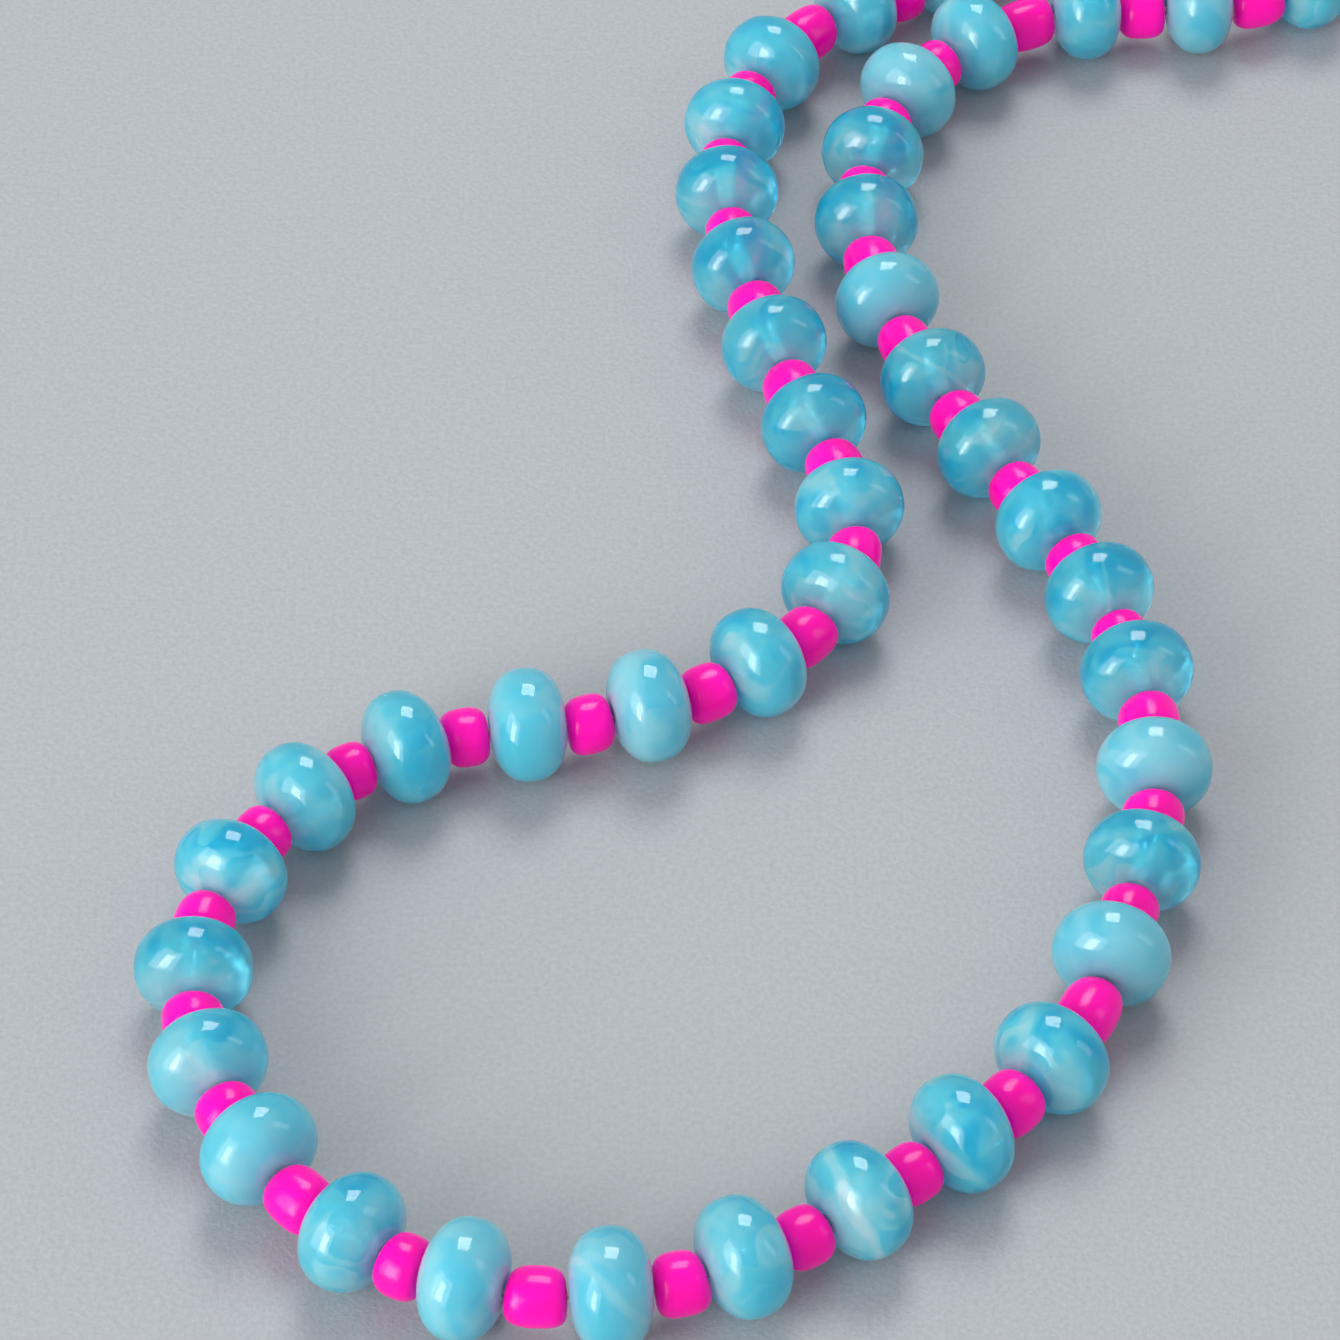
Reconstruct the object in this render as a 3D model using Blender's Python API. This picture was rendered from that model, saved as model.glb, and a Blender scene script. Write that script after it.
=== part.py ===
# A beaded necklace lying flat: turquoise rondelles and small pink barrel beads take turns on one
# clear thread, which closes in a loop through a plain barrel clasp. Metres, +Z up, floor at Z = 0.

import bisect
import math

import bmesh
import bpy
import numpy as np
from mathutils import Vector

mm = 0.001

# Turquoise rondelle
bead_diameter = 10.0 * mm
bead_thickness = 6.8 * mm
bead_bore = 1.6 * mm
bead_fullness = 2.4  # power of the rounded outline, where 2 would be an ellipse
bead_sides = 12

# Pink barrel bead between two rondelles
spacer_diameter = 5.1 * mm
spacer_length = 3.4 * mm
spacer_face = 3.0 * mm  # diameter of its flat end
spacer_shoulder = 0.8 * mm  # length over which it rounds off at each end
spacer_drop = 0.8 * mm  # how far its loose bore lets it hang below the thread
spacer_sides = 10

# Thread and clasp
thread_diameter = 0.5 * mm
clasp_diameter = 5.5 * mm
clasp_length = 9.0 * mm
clasp_bore = 1.7 * mm
clasp_shoulder = 1.2 * mm
clasp_sides = 12

# Space between two neighbours on the thread
piece_gap = 0.3 * mm

# Each barrel bead's length as a share of spacer_length, in the order that they are strung
length_shares = {"s": 0.8, "m": 1.0, "l": 1.2, "x": 1.44}
spacer_chart = "mmmxmxssmlllmmmmmssmsslslmmmmxmmlssmmllsssxlllm"

# The loop as it lies, from the clasp and back to it: (X, Y) in millimetres. It is drawn at about
# its real size, and then scaled until the whole string just fills it.
route_points = [
    (69.0, 116.5),
    (58.0, 120.0),
    (48.5, 114.0),
    (39.0, 105.5),
    (29.0, 97.5),
    (19.5, 92.5),
    (11.5, 84.0),
    (7.5, 74.5),
    (6.5, 64.0),
    (8.0, 53.0),
    (14.0, 31.0),
    (17.0, 20.0),
    (15.0, 8.5),
    (7.5, 0.5),
    (-3.0, -4.5),
    (-13.5, -6.0),
    (-23.5, -8.0),
    (-32.0, -13.5),
    (-38.5, -22.5),
    (-41.0, -33.5),
    (-39.0, -43.5),
    (-34.0, -53.0),
    (-26.5, -61.0),
    (-17.0, -66.0),
    (-5.5, -67.0),
    (5.0, -64.0),
    (23.0, -52.0),
    (31.0, -44.5),
    (36.5, -33.5),
    (42.0, -12.5),
    (39.0, 8.0),
    (30.0, 27.5),
    (21.5, 48.0),
    (20.0, 59.0),
    (21.0, 69.5),
    (24.5, 78.5),
    (32.5, 87.0),
    (43.5, 91.5),
    (53.5, 91.5),
    (63.0, 93.0),
    (71.0, 98.5),
    (74.0, 107.5),
]

# Fineness of the route's line
spline_steps = 24  # points worked out between two route points
fitting_rounds = 12  # times that the loop is scaled to the string
smooth_angle = math.radians(40)  # flatter edges than this are shaded smooth

# Where the corners of the rondelle's outline stand, from 0 at its rim to a right angle at its bore
rim_turn = math.radians(10)
shoulder_turn = math.radians(32)
cheek_turn = math.radians(62)


def smooth_loop(points):
    """Closed polyline through the points, as a cubic spline measured by their spacing."""
    count = len(points)
    spacing = [math.dist(points[i], points[(i + 1) % count]) for i in range(count)]
    matrix = np.zeros((count, count))
    pull = np.zeros((count, 2))
    points = np.array(points)
    for i in range(count):
        after = (i + 1) % count
        matrix[i, i - 1] = spacing[i - 1]
        matrix[i, i] = 2 * (spacing[i - 1] + spacing[i])
        matrix[i, after] = spacing[i]
        slope_in = (points[i] - points[i - 1]) / spacing[i - 1]
        slope_out = (points[after] - points[i]) / spacing[i]
        pull[i] = 6 * (slope_out - slope_in)
    bend = np.linalg.solve(matrix, pull)
    line = []
    for i in range(count):
        after = (i + 1) % count
        for step in range(spline_steps):
            b = step / spline_steps
            a = 1 - b
            curved = (a**3 - a) * bend[i] + (b**3 - b) * bend[after]
            line.append(a * points[i] + b * points[after] + curved * spacing[i] ** 2 / 6)
    return line


class Route:
    """The thread's line, which answers where it is at a length along it."""

    def __init__(self, line, size):
        self.line = [point * size for point in line]
        self.reach = [0.0]
        for i, point in enumerate(self.line):
            after = self.line[(i + 1) % len(self.line)]
            self.reach.append(self.reach[-1] + math.dist(point, after))
        self.length = self.reach[-1]

    def point(self, along):
        along %= self.length
        i = bisect.bisect_right(self.reach, along) - 1
        share = (along - self.reach[i]) / (self.reach[i + 1] - self.reach[i])
        return self.line[i] * (1 - share) + self.line[(i + 1) % len(self.line)] * share

    def seat(self, along, length):
        """Centre and heading of a stiff piece whose two ends lie on the line."""
        start = self.point(along - length / 2)
        end = self.point(along + length / 2)
        x, y = end - start
        return (start + end) / 2, math.atan2(y, x)


def bead_outline(turn):
    """A point of the rondelle's rounded outline, as (place along its axis, distance from it)."""
    power = 2 / bead_fullness
    along = bead_thickness / 2 * math.sin(turn) ** power
    return along, bead_diameter / 2 * math.cos(turn) ** power


def bend_room(turn, kind):
    """What a barrel bead's near edge takes of the gap where the line turns beside it."""
    face = spacer_face / 2
    taken = face * math.tan(turn)
    if kind == "bead":
        along, radius = bead_outline(cheek_turn)
        slope = (bead_thickness / 2 - along) / (radius - bead_bore / 2)
        taken -= (face - bead_bore / 2) * slope
    return max(0.0, taken)


def string_up(route):
    """The pieces in order from the clasp back to it, as (kind, length, place along the route).

    Where the line bends, two neighbours move apart so that their near edges keep piece_gap.
    """
    order = [("clasp", clasp_length)]
    for share in spacer_chart:
        order += [("spacer", spacer_length * length_shares[share]), ("bead", bead_thickness)]
    order[-1] = ("clasp", clasp_length)
    strung = []
    for kind, length in order:
        place = 0.0
        if strung:
            kind_before, length_before, place_before = strung[-1]
            place = place_before + length_before / 2 + piece_gap + length / 2
            turn = route.seat(place, length)[1] - route.seat(place_before, length_before)[1]
            turn = abs((turn + math.pi) % (2 * math.pi) - math.pi)
            place += bend_room(turn, kind_before if kind == "spacer" else kind)
        strung.append((kind, length, place))
    return strung


def fill_loop():
    """The loop at the size that the whole string just fills, and the pieces on it."""
    drawn = smooth_loop([(x * mm, y * mm) for x, y in route_points])
    size = 1.0
    for _ in range(fitting_rounds):
        route = Route(drawn, size)
        strung = string_up(route)
        size *= strung[-1][2] / route.length
    return route, strung[:-1]


def ring(sides, radius, heading, centre, along):
    """Corners of a cross-section at a length along a piece, with one flat side down."""
    ahead = Vector((math.cos(heading), math.sin(heading), 0))
    left = Vector((-ahead.y, ahead.x, 0))
    corner_radius = radius / math.cos(math.pi / sides)
    corners = []
    for k in range(sides):
        angle = 2 * math.pi * (k + 0.5) / sides - math.pi / 2
        across = left * math.cos(angle) + Vector((0, 0, math.sin(angle)))
        corners.append(centre + ahead * along + across * corner_radius)
    return corners


def closed_skin(name, rings):
    """Mesh that joins each ring to the next, and the last to the first."""
    shape = bmesh.new()
    rows = [[shape.verts.new(corner) for corner in corners] for corners in rings]
    for i, row in enumerate(rows):
        row_before = rows[i - 1]
        for k in range(len(row)):
            shape.faces.new((row_before[k - 1], row_before[k], row[k], row[k - 1]))
    bmesh.ops.recalc_face_normals(shape, faces=shape.faces)
    mesh = bpy.data.meshes.new(name)
    shape.to_mesh(mesh)
    shape.free()
    mesh.shade_smooth()
    mesh.set_sharp_from_angle(angle=smooth_angle)
    return mesh


def turned_mesh(name, outline, sides):
    """A piece turned about X from (place along the axis, radius) points that go round its wall."""
    return closed_skin(name, [ring(sides, radius, 0.0, Vector(), along) for along, radius in outline])


def mirrored(half):
    """A whole outline from its +X half."""
    return half + [(-along, radius) for along, radius in reversed(half)]


def bead_mesh():
    rim = (bead_outline(rim_turn)[0], bead_diameter / 2)
    bore_edge = (bead_thickness / 2, bead_bore / 2)
    half = [bore_edge, bead_outline(cheek_turn), bead_outline(shoulder_turn), rim]
    return turned_mesh("turquoise_bead", mirrored(half), bead_sides)


def clasp_mesh():
    radius = clasp_diameter / 2
    end = clasp_length / 2
    half = [(end, clasp_bore / 2), (end, radius - clasp_shoulder / 2), (end - clasp_shoulder, radius)]
    return turned_mesh("clasp", mirrored(half), clasp_sides)


def spacer_string_mesh(seats):
    """The thread, a closed loop, with every barrel bead hanging on it."""
    rings = []
    for length, centre, heading in seats:
        end = length / 2
        low = centre - Vector((0, 0, spacer_drop))
        half = [
            (thread_diameter, centre, end),
            (spacer_face, low, end),
            (spacer_diameter, low, end - spacer_shoulder),
        ]
        steps = [(width, middle, -along) for width, middle, along in half] + half[::-1]
        rings += [ring(spacer_sides, width / 2, heading, middle, along) for width, middle, along in steps]
    return closed_skin("spacers_on_thread", rings)


def finish(name, color, roughness, metallic=0.0):
    material = bpy.data.materials.new(name)
    material.use_nodes = True
    shader = material.node_tree.nodes["Principled BSDF"]
    shader.inputs["Base Color"].default_value = (*color, 1.0)
    shader.inputs["Roughness"].default_value = roughness
    shader.inputs["Metallic"].default_value = metallic
    return material


def add_piece(name, mesh, material, parent, centre=(0.0, 0.0, 0.0), heading=0.0):
    piece = bpy.data.objects.new(name, mesh)
    if not mesh.materials:
        mesh.materials.append(material)
    piece.location = centre
    piece.rotation_euler.z = heading
    piece.parent = parent
    bpy.context.scene.collection.objects.link(piece)
    return piece


def centre_on_box(parent, pieces):
    """Moves the whole necklace so that the origin is under the middle of its box."""
    bpy.context.view_layer.update()
    corners = [piece.matrix_world @ vertex.co for piece in pieces for vertex in piece.data.vertices]
    for axis in (0, 1):
        values = [corner[axis] for corner in corners]
        parent.location[axis] = -(min(values) + max(values)) / 2


def main():
    for old in list(bpy.data.objects):
        bpy.data.objects.remove(old, do_unlink=True)
    turquoise = finish("turquoise_glass", (0.12, 0.50, 0.64), 0.08)
    pink = finish("pink_glass", (0.95, 0.01, 0.38), 0.3)
    silver = finish("silver_metal", (0.75, 0.75, 0.76), 0.25, metallic=1.0)

    necklace = bpy.data.objects.new("necklace", None)
    bpy.context.scene.collection.objects.link(necklace)
    route, strung = fill_loop()
    axis_height = bead_diameter / 2
    pieces = []
    seats = []
    rondelle = bead_mesh()
    for kind, length, place in strung:
        middle, heading = route.seat(place, length)
        centre = Vector((*middle, axis_height))
        if kind == "spacer":
            seats.append((length, centre, heading))
        elif kind == "bead":
            name = f"turquoise_bead_{len(seats):02d}"
            pieces.append(add_piece(name, rondelle, turquoise, necklace, centre, heading))
        else:
            pieces.append(add_piece("clasp", clasp_mesh(), silver, necklace, centre, heading))
    pieces.append(add_piece("spacers_on_thread", spacer_string_mesh(seats), pink, necklace))
    centre_on_box(necklace, pieces)


main()
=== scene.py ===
# A beaded necklace on a pale floor: milky turquoise glass rondelles and small pink barrel beads take
# turns on a clear thread, which closes in a silver barrel clasp.

import math
import random

import bmesh
import bpy
import numpy as np
from mathutils import Euler, Matrix, Vector


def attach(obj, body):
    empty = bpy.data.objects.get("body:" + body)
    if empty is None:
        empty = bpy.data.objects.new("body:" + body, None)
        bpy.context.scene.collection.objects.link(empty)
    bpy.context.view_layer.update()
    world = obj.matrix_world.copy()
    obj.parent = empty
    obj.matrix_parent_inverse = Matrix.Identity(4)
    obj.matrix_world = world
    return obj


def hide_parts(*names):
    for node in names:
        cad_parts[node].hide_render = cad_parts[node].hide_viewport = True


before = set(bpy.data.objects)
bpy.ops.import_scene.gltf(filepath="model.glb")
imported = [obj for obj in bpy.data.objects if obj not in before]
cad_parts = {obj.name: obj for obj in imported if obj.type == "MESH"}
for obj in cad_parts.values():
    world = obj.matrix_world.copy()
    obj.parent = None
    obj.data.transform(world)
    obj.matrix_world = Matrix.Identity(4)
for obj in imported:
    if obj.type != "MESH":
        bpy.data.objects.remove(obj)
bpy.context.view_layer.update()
mm = 0.001


# Camera at the photo's angle

view = {
    "lens": 127.04,  # on a 36 mm wide sensor
    "lookDown": 46.8,  # degrees below level
    "roll": -1.39,
    "distance": 0.41975,
    "lookAt": (-0.0164, -0.0258, 0.005),
}


def setCamera():
    down = math.radians(view["lookDown"])
    roll = math.radians(view["roll"])
    ahead = Vector((0, math.cos(down), -math.sin(down)))
    right = Vector((1, 0, 0))
    up = right.cross(ahead)
    across = right * math.cos(roll) + up * math.sin(roll)
    upright = up * math.cos(roll) - right * math.sin(roll)
    place = Matrix((across, upright, -ahead)).transposed().to_4x4()
    place.translation = Vector(view["lookAt"]) - ahead * view["distance"]
    data = bpy.data.cameras.new("camera")
    data.lens = view["lens"]
    data.sensor_width = 36
    data.clip_start = 0.01
    camera = bpy.data.objects.new("camera", data)
    camera.matrix_world = place
    bpy.context.scene.collection.objects.link(camera)
    bpy.context.scene.camera = camera


setCamera()
print("camera set")


# Where the strung pieces lie, read from the frame

strandSearch = {
    "reach": 4.0,  # millimetres from the thread, within which all of a barrel bead's corners lie
    "offThread": 0.52,  # past this, a corner belongs to a barrel bead and not to the thread
}


def cornersOf(nodeName):
    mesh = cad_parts[nodeName].data
    points = np.array([vertex.co for vertex in mesh.vertices])
    return np.unique(np.round(points, 7), axis=0)


def placeOf(nodeName, alongIsLong):
    # The middle of a turned piece, and the level direction of its bore
    points = cornersOf(nodeName)
    middle = (points.min(axis=0) + points.max(axis=0)) / 2
    _, directions = np.linalg.eigh(np.cov(points[:, :2].T))
    x, y = directions[:, 1 if alongIsLong else 0]
    return Vector(middle), Vector((x, y, 0)).normalized()


def strungPieces():
    # Every rondelle in order, then the clasp, each with its bore pointing on to the next
    names = sorted(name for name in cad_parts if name.startswith("turquoise_bead_"))
    strung = [(name, *placeOf(name, False)) for name in names]
    strung.append(("clasp", *placeOf("clasp", True)))
    ordered = []
    for i, (name, middle, ahead) in enumerate(strung):
        onward = strung[(i + 1) % len(strung)][1] - strung[i - 1][1]
        ordered.append((name, middle, ahead if ahead.dot(onward) > 0 else -ahead))
    return ordered


def barrelPlaces(strung):
    # Middle, direction and length of the barrel bead after each strung piece
    points = cornersOf("spacers_on_thread")
    found = []
    for i, (_, start, _) in enumerate(strung):
        end = strung[(i + 1) % len(strung)][1]
        ahead = np.array((end - start).normalized())
        offset = points - np.array(start)
        along = offset @ ahead
        aside = np.linalg.norm(offset - np.outer(along, ahead), axis=1)
        between = (along > 0) & (along < (end - start).length)
        onBarrel = between & (aside > strandSearch["offThread"] * mm) & (aside < strandSearch["reach"] * mm)
        ends = points[onBarrel]
        order = np.argsort((ends - np.array(start)) @ ahead)
        half = len(order) // 2
        back, front = ends[order[:half]].mean(axis=0), ends[order[half:]].mean(axis=0)
        direction = Vector(front - back).normalized()
        reach = (ends - ends.mean(axis=0)) @ np.array(direction)
        centre = ends.mean(axis=0) + np.array(direction) * (reach.max() + reach.min()) / 2
        found.append((Vector(centre), direction, float(reach.max() - reach.min())))
    return found


strung = strungPieces()
barrels = barrelPlaces(strung)
print("strung pieces found:", len(strung), "barrel beads:", len(barrels))


# Short ways to lay out nodes

def addNode(tree, kind, sockets=None, **settings):
    made = tree.nodes.new(kind)
    for name, value in settings.items():
        setattr(made, name, value)
    for name, value in (sockets or {}).items():
        if isinstance(value, bpy.types.NodeSocket):
            tree.links.new(value, made.inputs[name])
        else:
            made.inputs[name].default_value = value
    return made


def calc(tree, operation, *values):
    return addNode(tree, "ShaderNodeMath", dict(enumerate(values)), operation=operation).outputs[0]


def vectorCalc(tree, operation, *values):
    made = addNode(tree, "ShaderNodeVectorMath", operation=operation)
    for i, value in enumerate(values):
        socket = made.inputs["Scale"] if operation == "SCALE" and i == 1 else made.inputs[i]
        if isinstance(value, bpy.types.NodeSocket):
            tree.links.new(value, socket)
        else:
            socket.default_value = value
    return made.outputs["Value" if operation == "DOT_PRODUCT" else "Vector"]


def noiseOf(tree, where, scale, detail, roughness=0.5, distortion=0.0):
    sockets = {"Vector": where, "Scale": scale, "Detail": detail, "Roughness": roughness, "Distortion": distortion}
    return addNode(tree, "ShaderNodeTexNoise", sockets).outputs[0]


def position(tree):
    return addNode(tree, "GeometryNodeInputPosition").outputs[0]


def storeOnPoints(tree, geometry, label, value, kind="FLOAT"):
    sockets = {"Geometry": geometry, "Name": label, "Value": value}
    made = addNode(tree, "GeometryNodeStoreNamedAttribute", sockets, data_type=kind, domain="POINT")
    return made.outputs[0]


def newGeometryTree(name, inputs):
    # inputs holds the name, kind and first value of each socket that the modifier shows
    tree = bpy.data.node_groups.new(name, "GeometryNodeTree")
    tree.interface.new_socket("Geometry", in_out="INPUT", socket_type="NodeSocketGeometry")
    tree.interface.new_socket("Geometry", in_out="OUTPUT", socket_type="NodeSocketGeometry")
    for label, kind, value in inputs:
        socket = tree.interface.new_socket(label, in_out="INPUT", socket_type="NodeSocket" + kind)
        if value is not None:
            socket.default_value = value
    entry = tree.nodes.new("NodeGroupInput")
    return tree, {socket.name: socket for socket in entry.outputs if socket.name}


def endTree(tree, geometry, material):
    solid = addNode(tree, "GeometryNodeRealizeInstances", {"Geometry": geometry}).outputs[0]
    smooth = addNode(tree, "GeometryNodeSetShadeSmooth", {"Geometry": solid}).outputs[0]
    finished = addNode(tree, "GeometryNodeSetMaterial", {"Geometry": smooth, "Material": material})
    leave = tree.nodes.new("NodeGroupOutput")
    tree.links.new(finished.outputs[0], leave.inputs[0])


def madeByTree(pieceName, source, tree, values):
    # Runs the tree on the source mesh and keeps what comes out as a plain mesh
    carrier = bpy.data.objects.new(pieceName + "_carrier", source)
    bpy.context.scene.collection.objects.link(carrier)
    modifier = carrier.modifiers.new(tree.name, "NODES")
    modifier.node_group = tree
    for item in tree.interface.items_tree:
        if item.in_out == "INPUT" and item.name in values:
            modifier[item.identifier] = values[item.name]
    bpy.context.view_layer.update()
    graph = bpy.context.evaluated_depsgraph_get()
    mesh = bpy.data.meshes.new_from_object(
        carrier.evaluated_get(graph), preserve_all_data_layers=True, depsgraph=graph
    )
    carrier.modifiers.remove(modifier)
    bpy.data.objects.remove(carrier)
    mesh.name = pieceName
    material = next(each for each in mesh.materials if each)
    mesh.materials.clear()
    mesh.materials.append(material)
    mesh.polygons.foreach_set("material_index", [0] * len(mesh.polygons))
    piece = bpy.data.objects.new(pieceName, mesh)
    bpy.context.scene.collection.objects.link(piece)
    return piece


def turnedSkin(tree, size):
    # A rounded piece turned about X with a bore through it. Its outline is a superellipse:
    # (place / half length) ^ fullness + (radius / half width) ^ fullness = 1
    def grid(steps):
        made = addNode(
            tree,
            "GeometryNodeMeshGrid",
            {"Size X": 1.0, "Size Y": 1.0, "Vertices X": size["around"], "Vertices Y": steps},
        )
        return made.outputs["Mesh"]

    place = addNode(tree, "ShaderNodeSeparateXYZ", {"Vector": position(tree)})
    turn = calc(tree, "MULTIPLY", place.outputs["X"], 2 * math.pi)
    across = calc(tree, "MULTIPLY", place.outputs["Y"], 2.0)
    halfLength = calc(tree, "MULTIPLY", size["length"], 0.5)
    halfWidth = calc(tree, "MULTIPLY", size["width"], 0.5)
    boreRadius = calc(tree, "MULTIPLY", size["bore"], 0.5)
    power = calc(tree, "DIVIDE", 2.0, size["fullness"])
    boreShare = calc(tree, "DIVIDE", size["bore"], size["width"])
    lastTurn = calc(tree, "ARCCOSINE", calc(tree, "POWER", boreShare, calc(tree, "DIVIDE", 1.0, power)))

    def placed(geometry, along, radius):
        y = calc(tree, "MULTIPLY", radius, calc(tree, "COSINE", turn))
        z = calc(tree, "MULTIPLY", radius, calc(tree, "SINE", turn))
        spot = addNode(tree, "ShaderNodeCombineXYZ", {"X": along, "Y": y, "Z": z}).outputs[0]
        return addNode(tree, "GeometryNodeSetPosition", {"Geometry": geometry, "Position": spot}).outputs[0]

    # outer skin
    tilt = calc(tree, "MULTIPLY", across, lastTurn)
    lift = calc(tree, "POWER", calc(tree, "ABSOLUTE", calc(tree, "SINE", tilt)), power)
    side = calc(tree, "SIGN", across)
    radius = calc(tree, "MULTIPLY", halfWidth, calc(tree, "POWER", calc(tree, "COSINE", tilt), power))
    fromBore = calc(tree, "DIVIDE", calc(tree, "SUBTRACT", radius, boreRadius), size["dimpleWidth"])
    dip = calc(tree, "EXPONENT", calc(tree, "MULTIPLY", calc(tree, "MULTIPLY", fromBore, fromBore), -1.0))
    dip = calc(tree, "MULTIPLY", dip, size["dimple"])
    proud = calc(tree, "SUBTRACT", calc(tree, "MULTIPLY", halfLength, lift), dip)
    outside = placed(grid(size["steps"]), calc(tree, "MULTIPLY", side, proud), radius)

    # wall of the bore, a little narrower half-way through
    wallSteps, flare = 9, 6.0  # a higher flare keeps the bore narrow for longer
    endLift = calc(tree, "POWER", calc(tree, "SINE", lastTurn), power)
    reach = calc(tree, "SUBTRACT", calc(tree, "MULTIPLY", halfLength, endLift), size["dimple"])
    inward = calc(tree, "POWER", calc(tree, "ABSOLUTE", across), flare)
    opening = calc(tree, "MULTIPLY", inward, calc(tree, "SUBTRACT", 1.0, size["waist"]))
    narrowing = calc(tree, "ADD", size["waist"], opening)
    back = calc(tree, "MULTIPLY", calc(tree, "MULTIPLY", across, -1.0), reach)
    wall = placed(grid(wallSteps), back, calc(tree, "MULTIPLY", boreRadius, narrowing))
    both = tree.nodes.new("GeometryNodeJoinGeometry")
    tree.links.new(wall, both.inputs[0])
    tree.links.new(outside, both.inputs[0])
    joined = addNode(tree, "GeometryNodeMergeByDistance", {"Geometry": both.outputs[0], "Distance": size["merge"]})
    return joined.outputs[0]


def uneven(tree, geometry, amount, fineness, shift):
    # Moves the surface in and out a little, and more in than out, as on a piece shaped by hand
    still = 0.62  # where the noise has this value, the surface stays where it is
    where = vectorCalc(tree, "ADD", vectorCalc(tree, "SCALE", position(tree), fineness), shift)
    noise = noiseOf(tree, where, 1.0, 1.0, 0.4)
    push = calc(tree, "MULTIPLY", calc(tree, "SUBTRACT", noise, still), calc(tree, "MULTIPLY", amount, 2.0))
    normal = addNode(tree, "GeometryNodeInputNormal").outputs[0]
    offset = vectorCalc(tree, "SCALE", normal, push)
    return addNode(tree, "GeometryNodeSetPosition", {"Geometry": geometry, "Offset": offset}).outputs[0]


# Turquoise glass

glass = {
    "deep": (0.012, 0.535, 0.800),
    "mid": (0.125, 0.680, 0.860),
    "milk": (0.335, 0.780, 0.900),
    "mist": (0.550, 0.830, 0.940),
    "roughness": 0.015,
}

# How much milk in a spot gives it each of those colours
milkStops = {"deep": 0.12, "mid": 0.42, "milk": 0.72, "mist": 0.98}

# Patterns in the glass: where no other note stands, a higher value makes the pattern finer
swirls = {
    "fold": 0.15,
    "foldReach": 11.0,  # how far the folds pull the milk about, in millimetres
    "cloud": 0.15,
    "cloudPower": 1.5,  # how much the clouds thicken and thin the milk
    "layer": 0.11,
    "layerCount": 5.5,  # how many veils lie behind each other
    "layerPatch": 0.23,
    "ribbonBend": 0.2,
    "ribbonBendReach": 3.0,  # how far a ribbon winds, in its own half widths
    "smear": 1.3,
    "skin": 0.9,
}

# Values that are the same all through the glass
glassSockets = {
    "IOR": 1.5,
    "Subsurface Weight": 1.0,
    "Subsurface Radius": (0.5, 1.1, 1.3),
    "Subsurface Scale": 0.0042,
    "Sheen Weight": 0.08,
    "Sheen Roughness": 0.22,
    "Sheen Tint": (0.86, 0.97, 1.0, 1.0),
}

# What sets one kind of rondelle apart: how clear its glass is, how much milk is stirred in, how strongly
# the milk clouds and folds, how much deeper its colour is at the rim, and how light it is
glassKinds = {
    "clear": {"through": 0.62, "milk": 0.15, "clouds": 0.8, "folds": 0.22, "rim": 0.44, "light": 1.04},
    "stirred": {"through": 0.50, "milk": 0.02, "clouds": 1.15, "folds": 0.26, "rim": 0.26, "light": 1.0},
    "misty": {"through": 0.48, "milk": 0.13, "clouds": 0.7, "folds": 0.16, "rim": 0.24, "light": 0.97},
    "milky": {"through": 0.30, "milk": 0.13, "clouds": 0.45, "folds": 0.10, "rim": 0.12, "light": 0.82},
    "even": {"through": 0.38, "milk": 0.09, "clouds": 0.4, "folds": 0.08, "rim": 0.10, "light": 0.93},
}


def ramp(tree, factor, stops, ease="EASE"):
    made = addNode(tree, "ShaderNodeValToRGB", {"Fac": factor})
    made.color_ramp.interpolation = ease
    while len(made.color_ramp.elements) < len(stops):
        made.color_ramp.elements.new(0.5)
    for element, (place, color) in zip(made.color_ramp.elements, stops):
        element.position = place
        element.color = (*color, 1.0) if isinstance(color, tuple) else (color, color, color, 1.0)
    return made.outputs["Color"]


def attributeOf(tree, label, kind="Fac"):
    return addNode(tree, "ShaderNodeAttribute", attribute_name=label).outputs[kind]


def objectSpot(tree):
    return addNode(tree, "ShaderNodeTexCoord").outputs["Object"]


def giveRoughness(tree, shader, value, smoothest, roughest, **between):
    given = {"Value": value, "To Min": smoothest, "To Max": roughest, **between}
    tree.links.new(addNode(tree, "ShaderNodeMapRange", given).outputs[0], shader.inputs["Roughness"])


def giveBump(tree, shader, height, strength, distance=0.0002):
    given = {"Height": height, "Strength": strength, "Distance": distance}
    tree.links.new(addNode(tree, "ShaderNodeBump", given).outputs[0], shader.inputs["Normal"])


def setSockets(shader, values):
    for name, value in values.items():
        shader.inputs[name].default_value = value


def newMaterial(name):
    material = bpy.data.materials.new(name)
    material.use_nodes = True
    tree = material.node_tree
    return material, tree, tree.nodes["Principled BSDF"]


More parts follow.
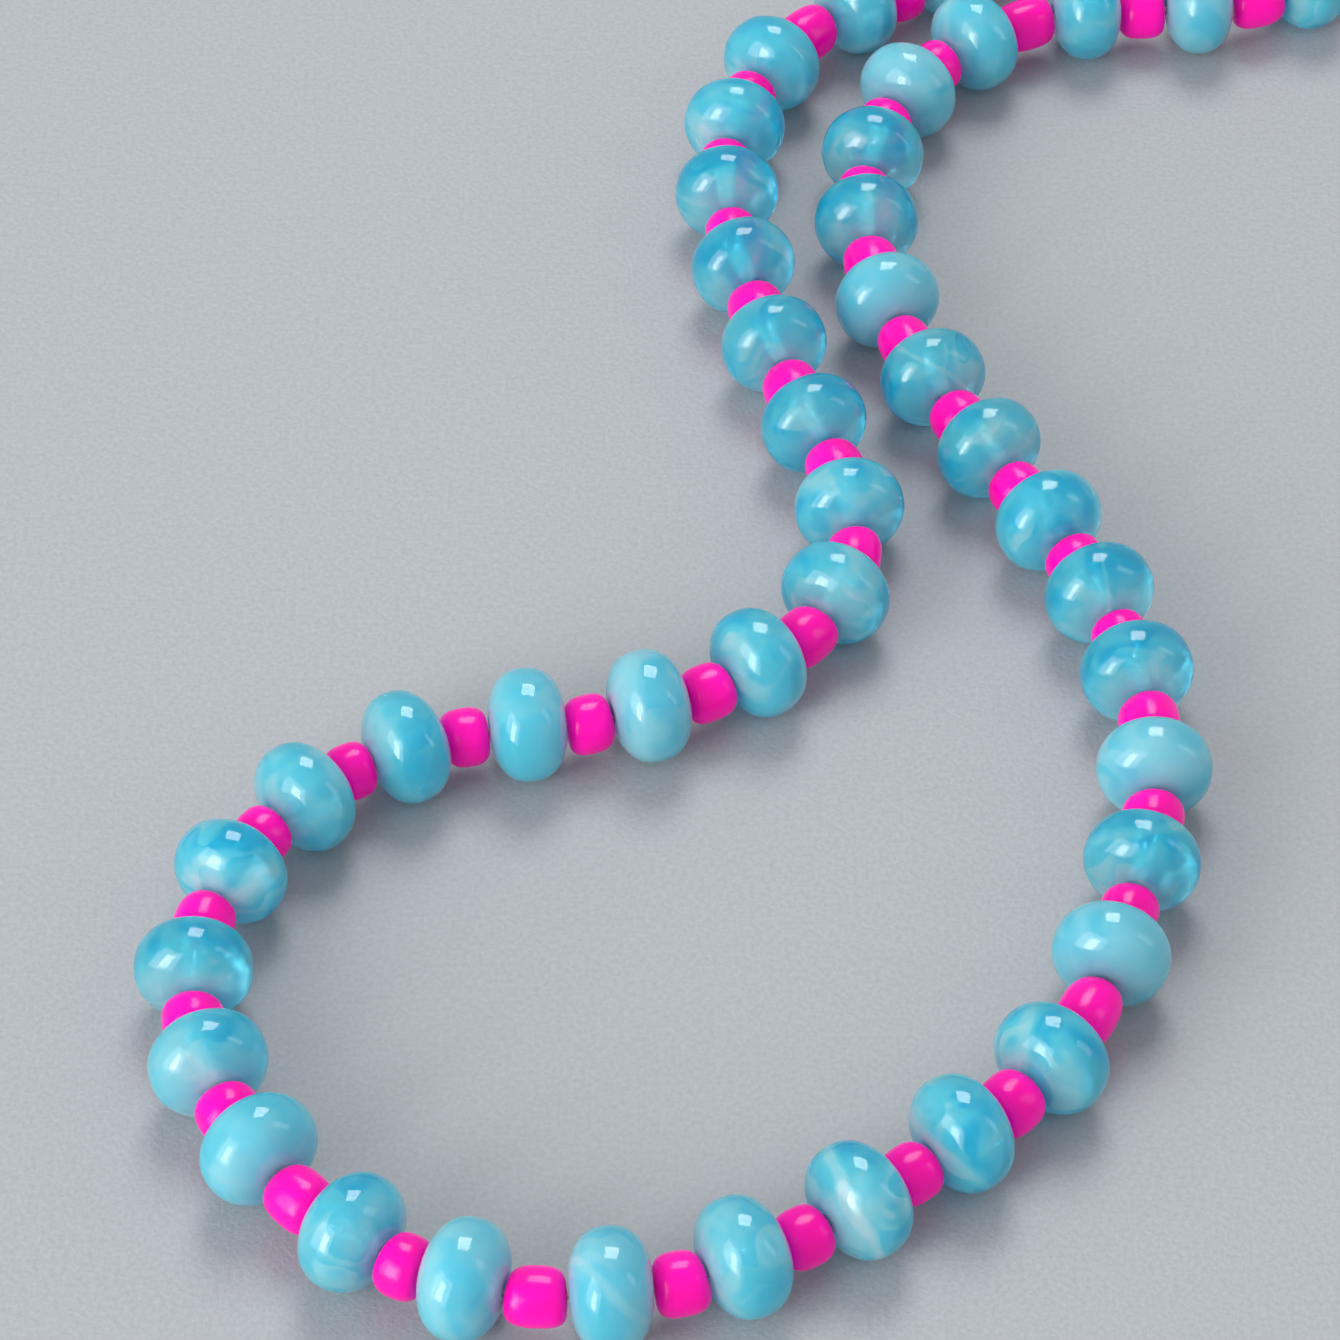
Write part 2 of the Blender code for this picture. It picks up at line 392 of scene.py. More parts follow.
def turquoiseGlass(kind):
    look = glassKinds[kind]
    material, tree, shader = newMaterial("turquoise_glass_" + kind)
    spot = attributeOf(tree, "glassSpot", "Vector")

    # clouds of milk, drawn out and folded round each other
    fold = addNode(tree, "ShaderNodeTexNoise", {"Vector": spot, "Scale": swirls["fold"], "Detail": 1.5})
    pull = vectorCalc(tree, "SUBTRACT", fold.outputs["Color"], (0.5, 0.5, 0.5))
    folded = vectorCalc(tree, "ADD", spot, vectorCalc(tree, "SCALE", pull, swirls["foldReach"]))
    clouds = calc(tree, "SUBTRACT", noiseOf(tree, folded, swirls["cloud"], 2.0, 0.42, 0.3), 0.5)
    milk = calc(tree, "MULTIPLY", clouds, swirls["cloudPower"] * look["clouds"])

    # folds: veils that thicken slowly and end in a sharp edge
    layers = calc(tree, "MULTIPLY", noiseOf(tree, folded, swirls["layer"], 1.0, 0.35), swirls["layerCount"])
    veil = ramp(tree, calc(tree, "FRACT", layers), [(0.0, 0.0), (0.86, 1.0), (0.97, 0.0)])
    where = ramp(tree, noiseOf(tree, spot, swirls["layerPatch"], 1.0, 0.4), [(0.42, 0.0), (0.6, 1.0)])
    veil = calc(tree, "MULTIPLY", calc(tree, "MULTIPLY", veil, where), look["folds"])

    # one pale ribbon of milk that crosses the piece
    bend = calc(tree, "SUBTRACT", noiseOf(tree, spot, swirls["ribbonBend"], 1.0, 0.4), 0.5)
    bend = calc(tree, "MULTIPLY", bend, swirls["ribbonBendReach"])
    offRibbon = calc(tree, "ABSOLUTE", calc(tree, "ADD", attributeOf(tree, "streak"), bend))
    ribbon = ramp(tree, calc(tree, "SUBTRACT", 1.0, offRibbon), [(0.0, 0.0), (0.85, 1.0)])
    milk = calc(tree, "ADD", calc(tree, "ADD", milk, 0.5 + look["milk"]), veil)
    milk = calc(tree, "ADD", milk, calc(tree, "MULTIPLY", ribbon, attributeOf(tree, "streakPower")))

    # the milk thins out towards the rim, where the glass shows its own colour
    nearRim = calc(tree, "POWER", attributeOf(tree, "rim"), 4.0)
    milk = calc(tree, "SUBTRACT", milk, calc(tree, "MULTIPLY", nearRim, look["rim"]))
    shades = {name: tuple(part * look["light"] for part in glass[name]) for name in milkStops}
    stops = [(stop, shades[name]) for name, stop in milkStops.items()]
    tree.links.new(ramp(tree, milk, stops), shader.inputs["Base Color"])

    # faint smears and a hand-shaped skin
    smear = noiseOf(tree, spot, swirls["smear"], 2.0, 0.5, 0.3)
    giveRoughness(tree, shader, smear, glass["roughness"] * 0.6, glass["roughness"] * 1.9)
    giveBump(tree, shader, noiseOf(tree, spot, swirls["skin"], 1.0, 0.4), 0.06)
    setSockets(shader, glassSockets)
    shader.inputs["Transmission Weight"].default_value = look["through"]
    return material


glassMaterials = {kind: turquoiseGlass(kind) for kind in glassKinds}
print("turquoise glass mixed:", len(glassMaterials))


# Turquoise rondelles

rondelle = {
    "diameter": 10.15,  # millimetres, as the rest
    "thickness": 7.05,
    "bore": 1.6,
    "fullness": 2.3,  # 2 would be an ellipse
    "dimple": 0.10,  # how deep the glass dips to the bore
    "dimpleWidth": 0.55,
    "waist": 0.9,  # narrowest share of the bore
    "uneven": 0.05,
    "unevenFineness": 330.0,
    "around": 65,
    "steps": 34,
    "seed": 12,
    "thicknessShare": (0.985, 1.0),  # each piece draws its own between these
    "fullnessShare": (0.97, 1.03),
    "dimpleShare": (0.6, 1.3),
}

# A faint ribbon for each rondelle: its place off the middle, half width and strength lie between these
faintRibbon = {"place": (-2.5, 2.5), "width": (0.5, 1.3), "power": (0.0, 0.12)}

# Kind of glass in each rondelle, in the order that they are strung
glassChart = {
    "clear": (8, 9, 10, 11, 20, 31, 33, 34, 36, 37, 39, 40),
    "stirred": (7, 12, 13, 14, 19, 27, 28, 29, 35, 45),
    "misty": (5, 6, 17, 18, 21, 23, 26, 43, 3, 46),
    "milky": (15, 25, 30, 32, 38, 41, 2, 44),
}  # the rest are even

# Pale ribbons that stand out: angle across the ribbon as seen from the front, place off the middle,
# half width, strength
ribbons = {
    15: (0, -0.6, 2.6, 0.22),
    21: (8, -1.6, 2.8, 0.20),
    24: (20, -2.2, 1.5, 0.14),
    25: (52, 0.3, 0.7, 0.16),
    27: (25, -0.3, 0.9, 0.38),
    28: (47, -1.7, 0.8, 0.30),
    29: (165, 3.0, 0.9, 0.30),
    31: (100, 2.6, 0.6, 0.22),
    34: (5, 0.2, 0.35, 0.20),
    37: (60, 0.5, 0.4, 0.20),
}

# Rondelles that lie a little askew of the frame's, in degrees
askew = {9: 6, 11: 2, 17: 5, 13: -2, 25: -3, 27: 3, 28: -5, 30: 3, 35: -2, 37: -6, 38: 2, 41: -3}


def rondelleTree():
    tree, given = newGeometryTree(
        "turned_rondelle",
        [
            ("Diameter", "Float", 0.01),
            ("Thickness", "Float", 0.0065),
            ("Bore", "Float", 0.0016),
            ("Fullness", "Float", 2.4),
            ("Dimple", "Float", 0.0001),
            ("Dimple Width", "Float", 0.0005),
            ("Waist", "Float", 0.7),
            ("Uneven", "Float", 0.00005),
            ("Around", "Int", 65),
            ("Steps", "Int", 35),
            ("Seed", "Float", 0.0),
            ("Spin", "Float", 0.0),
            ("Heading", "Float", 0.0),
            ("Centre", "Vector", (0.0, 0.0, 0.0)),
            ("Streak Direction", "Vector", (1.0, 0.0, 0.0)),
            ("Streak Place", "Float", 0.0),
            ("Streak Width", "Float", 1.0),
            ("Streak Power", "Float", 0.0),
            ("Material", "Material", None),
        ],
    )
    skin = turnedSkin(
        tree,
        {
            "around": given["Around"],
            "steps": given["Steps"],
            "length": given["Thickness"],
            "width": given["Diameter"],
            "bore": given["Bore"],
            "fullness": given["Fullness"],
            "dimple": given["Dimple"],
            "dimpleWidth": given["Dimple Width"],
            "waist": given["Waist"],
            "merge": 0.00002,
        },
    )
    # every seed reads its own stretch of the noise
    seedShift = vectorCalc(tree, "SCALE", (37.1, 61.7, 23.9), given["Seed"])
    skin = uneven(tree, skin, given["Uneven"], rondelle["unevenFineness"], seedShift)

    # what the glass reads: a spot in millimetres, how far off the ribbon it is, and how near the rim
    place = position(tree)
    inMillimetres = vectorCalc(tree, "SCALE", place, 1000.0)
    glassSpot = vectorCalc(tree, "ADD", inMillimetres, seedShift)
    skin = storeOnPoints(tree, skin, "glassSpot", glassSpot, "FLOAT_VECTOR")
    fromStreak = vectorCalc(tree, "DOT_PRODUCT", inMillimetres, given["Streak Direction"])
    fromStreak = calc(tree, "SUBTRACT", fromStreak, given["Streak Place"])
    skin = storeOnPoints(tree, skin, "streak", calc(tree, "DIVIDE", fromStreak, given["Streak Width"]))
    skin = storeOnPoints(tree, skin, "streakPower", given["Streak Power"])
    flat = addNode(tree, "ShaderNodeSeparateXYZ", {"Vector": place})
    squares = [calc(tree, "POWER", flat.outputs[axis], 2.0) for axis in ("Y", "Z")]
    outward = calc(tree, "SQRT", calc(tree, "ADD", *squares))
    rimRadius = calc(tree, "MULTIPLY", given["Diameter"], 0.5)
    skin = storeOnPoints(tree, skin, "rim", calc(tree, "DIVIDE", outward, rimRadius))
    angles = addNode(tree, "ShaderNodeCombineXYZ", {"X": given["Spin"], "Z": given["Heading"]}).outputs[0]
    turned = addNode(tree, "FunctionNodeEulerToRotation", {0: angles}).outputs[0]
    seat = {"Geometry": skin, "Rotation": turned, "Translation": given["Centre"]}
    endTree(tree, addNode(tree, "GeometryNodeTransform", seat).outputs[0], given["Material"])
    return tree


def makeRondelles():
    tree = rondelleTree()
    chance = random.Random(rondelle["seed"])
    for name, middle, ahead in strung:
        if name == "clasp":
            continue
        number = int(name[-2:])
        kind = next((kind for kind, numbers in glassChart.items() if number in numbers), "even")
        spin = chance.uniform(0, 2 * math.pi)
        direction = Vector((chance.uniform(-0.5, 0.5), chance.gauss(0, 1), chance.gauss(0, 1))).normalized()
        place, width, power = (chance.uniform(*faintRibbon[label]) for label in ("place", "width", "power"))
        heading = math.atan2(ahead.y, ahead.x) + math.radians(askew.get(number, 0))
        if number in ribbons:
            angle, place, width, power = ribbons[number]
            front = bpy.context.scene.camera.matrix_world.to_3x3()
            across = front @ Vector((math.cos(math.radians(angle)), math.sin(math.radians(angle)), 0))
            direction = Euler((spin, 0, heading)).to_matrix().transposed() @ across
        piece = madeByTree(
            "glass_rondelle_" + name[-2:],
            bpy.data.meshes.new("empty"),
            tree,
            {
                "Diameter": rondelle["diameter"] * mm,
                "Thickness": rondelle["thickness"] * mm * chance.uniform(*rondelle["thicknessShare"]),
                "Bore": rondelle["bore"] * mm,
                "Fullness": rondelle["fullness"] * chance.uniform(*rondelle["fullnessShare"]),
                "Dimple": rondelle["dimple"] * mm * chance.uniform(*rondelle["dimpleShare"]),
                "Dimple Width": rondelle["dimpleWidth"] * mm,
                "Waist": rondelle["waist"],
                "Uneven": rondelle["uneven"] * mm,
                "Around": rondelle["around"],
                "Steps": rondelle["steps"],
                "Seed": float(number) + 0.31,
                "Spin": spin,
                "Heading": heading,
                "Centre": (middle.x, middle.y, rondelle["diameter"] / 2 * mm),
                "Streak Direction": tuple(direction),
                "Streak Place": place,
                "Streak Width": width,
                "Streak Power": power,
                "Material": glassMaterials[kind],
            },
        )
        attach(piece, "root")
        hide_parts(name)


makeRondelles()
print("rondelles turned")


# Pink barrel beads

barrel = {
    "width": 5.3,  # millimetres, as the rest
    "widthShare": (0.97, 1.05),  # each piece draws its own between these
    "snug": 0.8,  # how much longer than the room between two bores, because the faces curve away
    "claspReach": 4.9,  # half the clasp, and what keeps a barrel off its collar
    "boreShare": 0.24,
    "fullness": 2.9,
    "dish": 0.055,  # how deep the ends dip, as a share of the length
    "dishWidth": 0.22,  # as a share of the width
    "wedge": 0.7,  # how far the ends turn to the rondelles' faces
    "uneven": 0.16,
    "unevenFineness": 210.0,
    "around": 41,
    "steps": 22,
    "seed": 5,
}

pink = {
    "bright": (1.0, 0.0, 0.42),
    "deep": (0.84, 0.0, 0.32),
    "roughness": 0.18,
}

# Values that are the same all through the pink glass. The emission is a painted glow: the glass is no lamp, and
# the glow stands in for light on the beads' shaded side
pinkSocketsWithPaintedGlow = {
    "Specular IOR Level": 0.25,
    # painted glow, which lightens the pink beads where they lie in shade
    "Emission Color": (1.0, 0.0, 0.36, 1.0),
    "Emission Strength": 0.15,
    "Subsurface Weight": 0.35,
    "Subsurface Radius": (1.0, 0.2, 0.6),
    "Subsurface Scale": 0.0006,
}


def pinkGlass():
    material, tree, shader = newMaterial("pink_glass")
    spot = objectSpot(tree)
    cloud = noiseOf(tree, spot, 260.0, 3.0, 0.55)
    tree.links.new(ramp(tree, cloud, [(0.3, pink["deep"]), (0.7, pink["bright"])]), shader.inputs["Base Color"])
    smear = noiseOf(tree, spot, 700.0, 3.0, 0.6)
    giveRoughness(tree, shader, smear, pink["roughness"] - 0.08, pink["roughness"] + 0.1)
    giveBump(tree, shader, smear, 0.12)
    setSockets(shader, pinkSocketsWithPaintedGlow)
    return material


def barrelTree():
    tree, given = newGeometryTree(
        "barrels_on_thread",
        [
            ("Bore Share", "Float", 0.24),
            ("Fullness", "Float", 3.0),
            ("Dish", "Float", 0.05),
            ("Dish Width", "Float", 0.2),
            ("Uneven", "Float", 0.0001),
            ("Around", "Int", 41),
            ("Steps", "Int", 23),
            ("Seed", "Float", 0.0),
            ("Material", "Material", None),
        ],
    )
    skin = turnedSkin(
        tree,
        {
            "around": given["Around"],
            "steps": given["Steps"],
            "length": 1.0,
            "width": 1.0,
            "bore": given["Bore Share"],
            "fullness": given["Fullness"],
            "dimple": given["Dish"],
            "dimpleWidth": given["Dish Width"],
            "waist": 0.9,
            "merge": 0.003,
        },
    )

    def named(label, kind="FLOAT"):
        made = addNode(tree, "GeometryNodeInputNamedAttribute", {"Name": label}, data_type=kind)
        return made.outputs[0]

    angles = addNode(tree, "ShaderNodeCombineXYZ", {"X": named("spin"), "Z": named("heading")}).outputs[0]
    turned = addNode(tree, "FunctionNodeEulerToRotation", {0: angles}).outputs[0]
    sizes = {"X": named("length"), "Y": named("width"), "Z": named("width")}
    size = addNode(tree, "ShaderNodeCombineXYZ", sizes).outputs[0]
    strungOn = {"Points": given["Geometry"], "Instance": skin, "Rotation": turned, "Scale": size}
    copies = addNode(tree, "GeometryNodeInstanceOnPoints", strungOn).outputs[0]
    solid = addNode(tree, "GeometryNodeRealizeInstances", {"Geometry": copies}).outputs[0]

    # each end leans to lie flat on its rondelle, which makes a wedge of a barrel in a bend
    fromCentre = vectorCalc(tree, "SUBTRACT", position(tree), named("centre", "FLOAT_VECTOR"))
    east, north = calc(tree, "COSINE", named("heading")), calc(tree, "SINE", named("heading"))
    ahead = addNode(tree, "ShaderNodeCombineXYZ", {"X": east, "Y": north}).outputs[0]
    west = calc(tree, "MULTIPLY", north, -1.0)
    side = addNode(tree, "ShaderNodeCombineXYZ", {"X": west, "Y": east}).outputs[0]
    along = calc(tree, "DIVIDE", vectorCalc(tree, "DOT_PRODUCT", fromCentre, ahead), named("length"))
    aside = vectorCalc(tree, "DOT_PRODUCT", fromCentre, side)
    change = calc(tree, "SUBTRACT", named("frontLean"), named("backLean"))
    lean = calc(tree, "ADD", named("backLean"), calc(tree, "MULTIPLY", change, calc(tree, "ADD", along, 0.5)))
    fromMiddle = calc(tree, "MULTIPLY", calc(tree, "ABSOLUTE", along), -2.0)
    slide = calc(tree, "MULTIPLY", calc(tree, "MULTIPLY", aside, lean), fromMiddle)
    leaned = {"Geometry": solid, "Offset": vectorCalc(tree, "SCALE", ahead, slide)}
    solid = addNode(tree, "GeometryNodeSetPosition", leaned).outputs[0]

    shift = vectorCalc(tree, "SCALE", (11.3, 7.9, 3.1), given["Seed"])
    solid = uneven(tree, solid, given["Uneven"], barrel["unevenFineness"], shift)
    endTree(tree, solid, given["Material"])
    return tree


def pointsMesh(name, points, **columns):
    # One point for each barrel bead, with what the tree reads from it
    mesh = bpy.data.meshes.new(name)
    mesh.from_pydata(points, [], [])
    for label, values in columns.items():
        mesh.attributes.new(label, "FLOAT", "POINT").data.foreach_set("value", values)
    spots = [part for point in points for part in point]
    mesh.attributes.new("centre", "FLOAT_VECTOR", "POINT").data.foreach_set("vector", spots)
    return mesh


def leanTo(direction, face):
    # Slope of a rondelle's face, across the direction of the barrel bead that lies on it
    angle = math.atan2(direction.x * face.y - direction.y * face.x, direction.dot(face))
    return math.tan(angle) * barrel["wedge"]


def seatedBarrels():
    # Each barrel bead reaches from one neighbour's face to the other's
    seated = []
    for i, (centre, way, _) in enumerate(barrels):
        reach = []
        for (name, middle, ahead), side in ((strung[i], 1), (strung[(i + 1) % len(strung)], -1)):
            half = barrel["claspReach"] if name == "clasp" else rondelle["thickness"] / 2
            face = middle + ahead * half * mm * side
            reach.append((face - centre).dot(ahead) / way.dot(ahead))
        seated.append((centre + way * sum(reach) / 2, way, reach[1] - reach[0] + barrel["snug"] * mm))
    return seated


def makeBarrels():
    chance = random.Random(barrel["seed"])
    seated = seatedBarrels()
    source = pointsMesh(
        "barrel_places",
        [tuple(centre) for centre, _, _ in seated],
        heading=[math.atan2(direction.y, direction.x) for _, direction, _ in seated],
        length=[length for _, _, length in seated],
        width=[barrel["width"] * mm * chance.uniform(*barrel["widthShare"]) for _ in barrels],
        spin=[chance.uniform(0, 2 * math.pi) for _ in barrels],
        backLean=[leanTo(way, strung[i][2]) for i, (_, way, _) in enumerate(barrels)],
        frontLean=[leanTo(way, strung[(i + 1) % len(strung)][2]) for i, (_, way, _) in enumerate(barrels)],
    )
    piece = madeByTree(
        "pink_barrel_beads",
        source,
        barrelTree(),
        {
            "Bore Share": barrel["boreShare"],
            "Fullness": barrel["fullness"],
            "Dish": barrel["dish"],
            "Dish Width": barrel["dishWidth"],
            "Uneven": barrel["uneven"] * mm,
            "Around": barrel["around"],
            "Steps": barrel["steps"],
            "Seed": 1.7,
            "Material": pinkGlass(),
        },
    )
    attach(piece, "root")
    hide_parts("spacers_on_thread")


makeBarrels()
print("pink barrel beads strung")


# Clear thread

thread = {
    "diameter": 0.5,  # millimetres
    "height": 4.65,  # low in the rondelles' bores and high in the barrels'
    "around": 13,
    "curveSteps": 5,
    "inRondelle": 2.2,  # how far from a middle the thread still runs straight
    "inClasp": 3.6,
    "inBarrel": 0.35,  # the same, as a share of a barrel bead's length
    "color": (0.80, 0.84, 0.86),
    "paler": 1.12,
}


def clearNylon():
    material, tree, shader = newMaterial("clear_nylon")
    haze = noiseOf(tree, objectSpot(tree), 900.0, 2.0)
    pale = tuple(min(1.0, part * thread["paler"]) for part in thread["color"])
    tree.links.new(ramp(tree, haze, [(0.3, thread["color"]), (0.7, pale)]), shader.inputs["Base Color"])
    giveRoughness(tree, shader, haze, 0.12, 0.3)
    setSockets(shader, {"IOR": 1.53, "Transmission Weight": 0.45})
    return material


def threadTree():
    tree, given = newGeometryTree(
        "thread_through_bores",
        [
            ("Diameter", "Float", 0.0005),
            ("Around", "Int", 12),
            ("Curve Steps", "Int", 5),
            ("Material", "Material", None),
        ],
    )
    line = addNode(tree, "GeometryNodeMeshToCurve", {0: given["Geometry"]}).outputs[0]
    line = addNode(tree, "GeometryNodeCurveSplineType", {"Curve": line}, spline_type="CATMULL_ROM").outputs[0]
    steps = {0: line, "Resolution": given["Curve Steps"]}
    line = addNode(tree, "GeometryNodeSetSplineResolution", steps).outputs[0]
    ring = {"Resolution": given["Around"], "Radius": calc(tree, "MULTIPLY", given["Diameter"], 0.5)}
    ringShape = addNode(tree, "GeometryNodeCurvePrimitiveCircle", ring).outputs[0]
    tube = addNode(tree, "GeometryNodeCurveToMesh", {"Curve": line, "Profile Curve": ringShape}).outputs[0]
    endTree(tree, tube, given["Material"])
    return tree


def makeThread():
    points = []
    for (name, middle, ahead), (centre, direction, length) in zip(strung, barrels):
        half = (thread["inClasp"] if name == "clasp" else thread["inRondelle"]) * mm
        points += [middle - ahead * half, middle + ahead * half]
        straight = direction * length * thread["inBarrel"]
        points += [centre - straight, centre + straight]
    source = bpy.data.meshes.new("thread_line")
    places = [(point.x, point.y, thread["height"] * mm) for point in points]
    source.from_pydata(places, [(i, (i + 1) % len(places)) for i in range(len(places))], [])
    piece = madeByTree(
        "clear_thread",
        source,
        threadTree(),
        {
            "Diameter": thread["diameter"] * mm,
            "Around": thread["around"],
            "Curve Steps": thread["curveSteps"],
            "Material": clearNylon(),
        },
    )
    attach(piece, "root")


makeThread()
print("thread run through")


# Silver barrel clasp

clasp = {
    "width": 5.5,  # millimetres, as the rest
    "length": 9.0,
    "bore": 1.7,
    "collar": 3.1,  # width of the two small end collars
    "collarLength": 0.7,
    "seam": 0.16,  # width of the groove where the halves screw together
    "flutes": 28,
    "fluteDepth": 0.11,
    "fluteSharpness": 1.6,  # a higher value makes the flutes narrower
    "gripFrom": 0.9,  # millimetres from the seam
    "gripTo": 2.5,
    "around": 224,
}

silver = {
    "bright": (0.80, 0.80, 0.81),
    "dull": (0.62, 0.62, 0.63),
    # the dark colour painted into the seam and flute bottoms as shade
    "groove": (0.30, 0.30, 0.31),
    "seamPaintedShade": 0.8,  # painted shade: share of the dark groove colour at the bottom of the seam
    "flutePaintedShade": 0.75,  # the same painted shade at the bottom of a flute
}


def claspProfile():
    # From the seam out to the bore: place along, radius, and how deep the flutes cut in there
    half, radius, bore = clasp["length"] / 2, clasp["width"] / 2, clasp["bore"] / 2
    gripFrom, gripTo, seam = clasp["gripFrom"], clasp["gripTo"], clasp["seam"] / 2
    shoulder, collar = half - clasp["collarLength"], clasp["collar"] / 2
    seamFloor, body = radius - 0.16, radius - 0.01
    points = [(0, seamFloor, 0), (seam * 0.6, seamFloor, 0), (seam, radius - 0.06, 0)]
    points += [(seam + 0.06, radius, 0), (gripFrom - 0.16, radius, 0)]
    points += [(gripFrom - 0.10, radius - 0.05, 0), (gripFrom - 0.04, radius - 0.03, 0)]
    gripSteps = 8
    for i in range(gripSteps + 1):
        share = i / gripSteps
        cut = math.sin(math.pi * share) ** 0.35 if 0 < i < gripSteps else 0
        points.append((gripFrom + (gripTo - gripFrom) * share, radius - 0.02, cut))
    bend = gripTo + 0.2
    points += [(gripTo + 0.05, radius - 0.05, 0), (gripTo + 0.12, body, 0), (bend, body, 0)]
    shoulderSteps, foot = 8, collar - 0.12
    for i in range(1, shoulderSteps + 1):
        turn = math.pi / 2 * i / shoulderSteps
        along = bend + (shoulder - bend) * math.sin(turn)
        points.append((along, foot + (body - foot) * math.cos(turn), 0))
    points += [(shoulder + 0.06, collar - 0.02, 0), (shoulder + 0.16, collar, 0)]
    points += [(half - 0.16, collar, 0), (half - 0.05, collar - 0.05, 0), (half, collar - 0.18, 0)]
    points += [(half, bore + 0.12, 0), (half - 0.04, bore + 0.03, 0), (half - 0.12, bore, 0)]
    mirrored = [(-along, width, cut) for along, width, cut in points[:0:-1]]
    return mirrored + points


def silverMetal():
    material, tree, shader = newMaterial("silver_metal")
    spot = attributeOf(tree, "claspSpot", "Vector")
    drawnRound = vectorCalc(tree, "MULTIPLY", spot, (9.0, 0.35, 0.35))
    rings = noiseOf(tree, drawnRound, 1.6, 4.0, 0.6)
    cloud = noiseOf(tree, spot, 0.7, 3.0)
    mottle = calc(tree, "ADD", calc(tree, "MULTIPLY", rings, 0.6), calc(tree, "MULTIPLY", cloud, 0.4))
    polished = ramp(tree, mottle, [(0.35, silver["dull"]), (0.62, silver["bright"])])
    # painted shade: the dark groove colour is mixed in towards the bottom of the seam and of each flute
    # sockets 0, 6 and 7 hold the share and the two colours, and the mixed colour leaves by 2
    shades = {0: attributeOf(tree, "claspPaintedShade"), 6: polished, 7: (*silver["groove"], 1.0)}
    mixed = addNode(tree, "ShaderNodeMix", shades, data_type="RGBA").outputs[2]
    tree.links.new(mixed, shader.inputs["Base Color"])
    giveRoughness(tree, shader, mottle, 0.34, 0.18, **{"From Min": 0.3, "From Max": 0.7})
    giveBump(tree, shader, rings, 0.18, 0.00005)
    shader.inputs["Metallic"].default_value = 1.0
    return material


def makeClasp():
    _, middle, ahead = strung[-1]
    side, up = Vector((-ahead.y, ahead.x, 0)), Vector((0, 0, 1))
    profile = claspProfile()
    around = clasp["around"]
    points, spots, paintedShades = [], [], []
    for along, radius, cut in profile:
        for k in range(around):
            turn = 2 * math.pi * k / around
            wave = 0.5 - 0.5 * math.cos(turn * clasp["flutes"])
            flute = cut * clasp["fluteDepth"] * wave ** clasp["fluteSharpness"]
            y, z = (radius - flute) * math.cos(turn), (radius - flute) * math.sin(turn)
            points.append(middle + (ahead * along + side * y + up * z) * mm)
            spots += [along, y, z]
            # painted shade, darkest at the bottom of the seam and of each flute
            inSeam = max(0.0, 1 - abs(along) / clasp["seam"])
            paintedShades.append(max(silver["seamPaintedShade"] * inSeam, silver["flutePaintedShade"] * flute / clasp["fluteDepth"]))
    rings = len(profile)
    faces = []
    for i in range(rings):
        for k in range(around):
            n, m = (i + 1) % rings, (k + 1) % around
            faces.append((i * around + k, n * around + k, n * around + m, i * around + m))
    mesh = bpy.data.meshes.new("silver_clasp")
    mesh.from_pydata([tuple(point) for point in points], [], faces)
    mesh.attributes.new("claspSpot", "FLOAT_VECTOR", "POINT").data.foreach_set("vector", spots)
    mesh.attributes.new("claspPaintedShade", "FLOAT", "POINT").data.foreach_set("value", paintedShades)
    outwards = bmesh.new()
    outwards.from_mesh(mesh)
    bmesh.ops.recalc_face_normals(outwards, faces=outwards.faces)
    outwards.to_mesh(mesh)
    outwards.free()
    mesh.polygons.foreach_set("use_smooth", [True] * len(mesh.polygons))
    mesh.materials.append(silverMetal())
    piece = bpy.data.objects.new("silver_clasp", mesh)
    bpy.context.scene.collection.objects.link(piece)
    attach(piece, "root")
    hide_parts("clasp")


makeClasp()
print("clasp turned")


# Floor, lights and surroundings

floor = {
    "size": 12.0,  # metres
    "color": (0.372, 0.390, 0.405),
    "grain": 0.055,  # how far the grain goes lighter and darker than the colour, as a share of it
    "grainFineness": 2100.0,
}

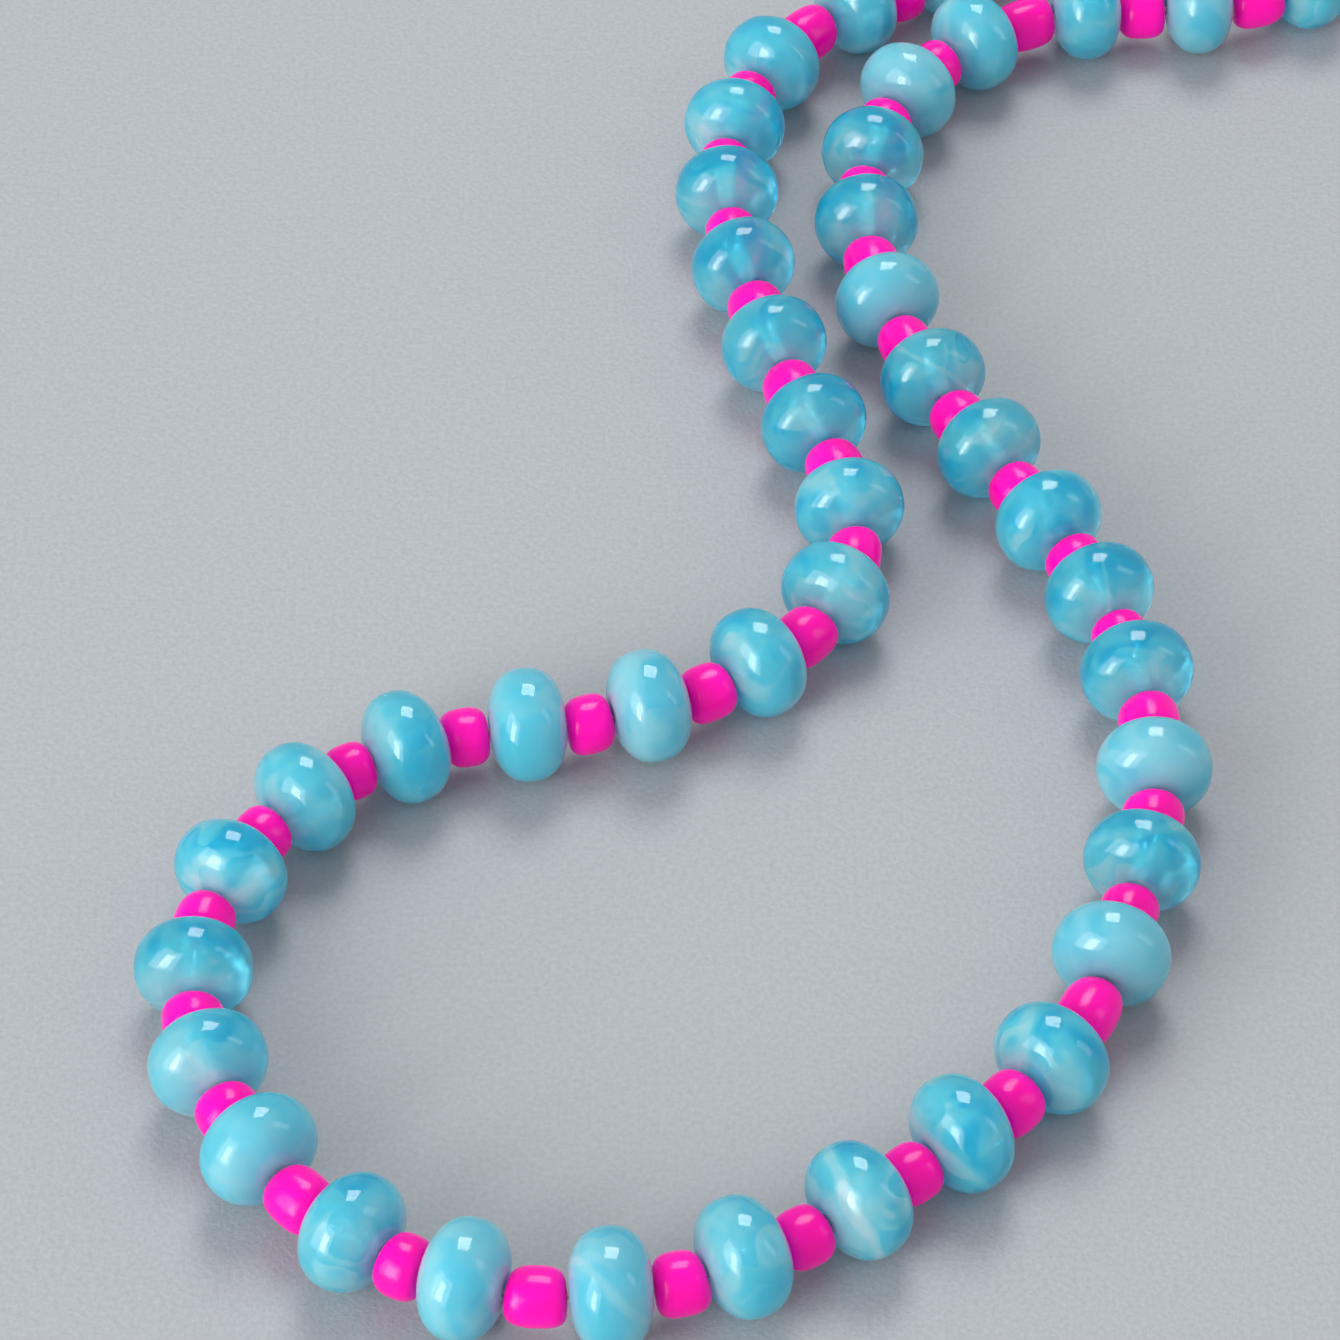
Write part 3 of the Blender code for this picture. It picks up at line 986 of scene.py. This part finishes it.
lights = {
    # where each stands as seen from the necklace, how far off in metres, its size and its power in watts
    "back window": {"toward": (0.07, 0.52, 0.85), "distance": 1.2, "width": 0.48, "height": 0.58, "power": 6.2},
    "left window": {"toward": (-0.74, -0.58, 0.35), "distance": 1.2, "width": 1.05, "height": 1.15, "power": 11.6},
    "left pane": {"toward": (-0.69, -0.65, 0.33), "distance": 1.15, "width": 0.32, "height": 0.62, "power": 4.5},
    "right card": {"toward": (0.85, -0.12, 0.5), "distance": 1.2, "width": 0.28, "height": 0.7, "power": 1.0},
}

surroundings = {"color": (0.84, 0.88, 0.92), "strength": 0.61}


def makeFloor():
    half = floor["size"] / 2
    corners = [(-half, -half, 0), (half, -half, 0), (half, half, 0), (-half, half, 0)]
    mesh = bpy.data.meshes.new("floor")
    mesh.from_pydata(corners, [], [(0, 1, 2, 3)])
    material, tree, shader = newMaterial("pale_paper")
    grain = noiseOf(tree, objectSpot(tree), floor["grainFineness"], 1.0, 0.6)
    dark = tuple(part * (1 - floor["grain"]) for part in floor["color"])
    light = tuple(part * (1 + floor["grain"]) for part in floor["color"])
    tree.links.new(ramp(tree, grain, [(0.3, dark), (0.7, light)], "LINEAR"), shader.inputs["Base Color"])
    giveBump(tree, shader, grain, 0.27)
    shader.inputs["Roughness"].default_value = 0.6
    ground = bpy.data.objects.new("floor", mesh)
    mesh.materials.append(material)
    bpy.context.scene.collection.objects.link(ground)


def makeLights():
    middle = Vector(view["lookAt"])
    for name, values in lights.items():
        data = bpy.data.lights.new(name, "AREA")
        data.shape = "RECTANGLE"
        data.size = values["width"]
        data.size_y = values["height"]
        data.energy = values["power"]
        lamp = bpy.data.objects.new(name, data)
        toward = Vector(values["toward"]).normalized()
        lamp.location = middle + toward * values["distance"]
        lamp.rotation_euler = toward.to_track_quat("Z", "Y").to_euler()
        bpy.context.scene.collection.objects.link(lamp)
    world = bpy.data.worlds.new("surroundings")
    world.use_nodes = True
    background = world.node_tree.nodes["Background"]
    background.inputs["Color"].default_value = (*surroundings["color"], 1.0)
    background.inputs["Strength"].default_value = surroundings["strength"]
    bpy.context.scene.world = world
    bpy.context.scene.view_settings.view_transform = "Standard"


makeFloor()
makeLights()
print("floor and lights set")
